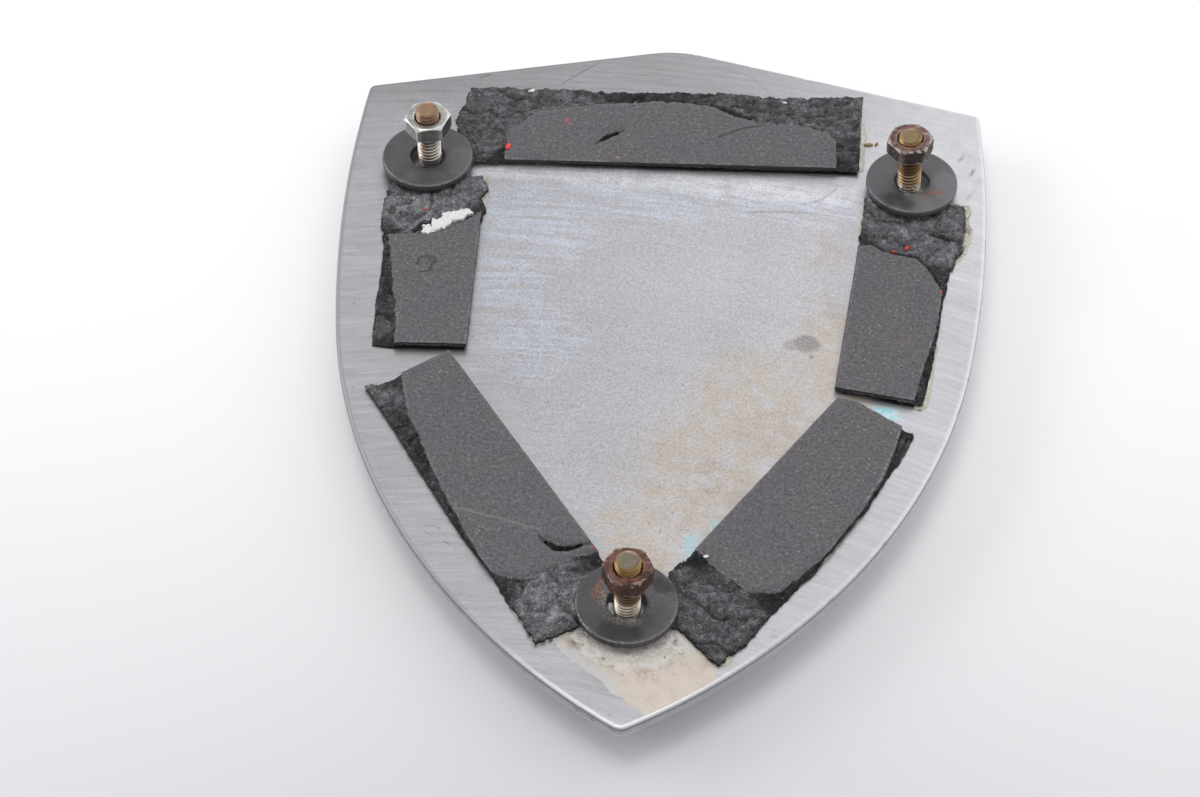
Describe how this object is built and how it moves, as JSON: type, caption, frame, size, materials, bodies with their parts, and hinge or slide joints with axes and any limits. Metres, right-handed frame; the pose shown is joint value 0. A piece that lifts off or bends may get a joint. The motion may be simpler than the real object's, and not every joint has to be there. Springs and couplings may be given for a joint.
{
  "type": "car emblem",
  "caption": "Shield-shaped car emblem with an enamelled front, screwed-in studs with washers and nuts, and torn foam mounting tape on its ground back.",
  "frame": {"origin": "under the middle of the shield, on the surface that its front bead lies on", "axes": "+Y from the tip to the gable, +Z from the front to the ground back and its studs"},
  "size_m": [0.1058, 0.142, 0.0213],
  "materials": {
    "casting": "ground, satin",
    "blue_enamel": "glossy enamel",
    "pale_enamel": "glossy enamel",
    "stud": "dull, worn thread",
    "washer": "blackened, satin",
    "zinc_nut": "zinc plated",
    "rusty_nut": "rusty, worn bright",
    "dark_nut": "rusty",
    "adhesive": "dry",
    "torn_foam": "torn, rough",
    "foam_face": "matt, speckled",
    "old_adhesive": "dry"
  },
  "bodies": {
    "shield": {"shield_casting": "casting", "enamel_chief": "blue_enamel", "enamel_base": "pale_enamel", "stud_left": "stud", "stud_right": "stud", "stud_lower": "stud", "bond_top": "adhesive", "bond_left": "adhesive", "bond_right": "adhesive", "bond_low_left": "adhesive", "bond_low_right": "adhesive", "foam_top": "torn_foam", "foam_left": "torn_foam", "foam_right": "torn_foam", "foam_low_left": "torn_foam", "foam_low_right": "torn_foam", "face_top": "foam_face", "face_left": "foam_face", "face_right": "foam_face", "face_low_left": "foam_face", "face_low_right": "foam_face", "tip_residue": "old_adhesive"},
    "left_washer": {"washer_left": "washer"},
    "left_nut": {"nut_left": "zinc_nut"},
    "right_washer": {"washer_right": "washer"},
    "right_nut": {"nut_right": "rusty_nut"},
    "lower_washer": {"washer_lower": "washer"},
    "lower_nut": {"nut_lower": "dark_nut"}
  },
  "joints": [
    {"name": "left_washer_slide", "type": "slide", "parent": "shield", "child": "left_washer", "axis": [0, 0, 1], "range_m": [0, 0.0061]},
    {"name": "left_nut_slide", "type": "slide", "parent": "shield", "child": "left_nut", "axis": [0, 0, 1], "range_m": [-0.0061, 0.005]},
    {"name": "right_washer_slide", "type": "slide", "parent": "shield", "child": "right_washer", "axis": [-0.0628, 0, 0.998], "range_m": [0, 0.0065]},
    {"name": "right_nut_slide", "type": "slide", "parent": "shield", "child": "right_nut", "axis": [-0.0628, 0, 0.998], "range_m": [-0.0065, 0.004]},
    {"name": "lower_washer_slide", "type": "slide", "parent": "shield", "child": "lower_washer", "axis": [0, 0, 1], "range_m": [0, 0.0058]},
    {"name": "lower_nut_slide", "type": "slide", "parent": "shield", "child": "lower_nut", "axis": [0, 0, 1], "range_m": [-0.0058, 0.005]}
  ]
}
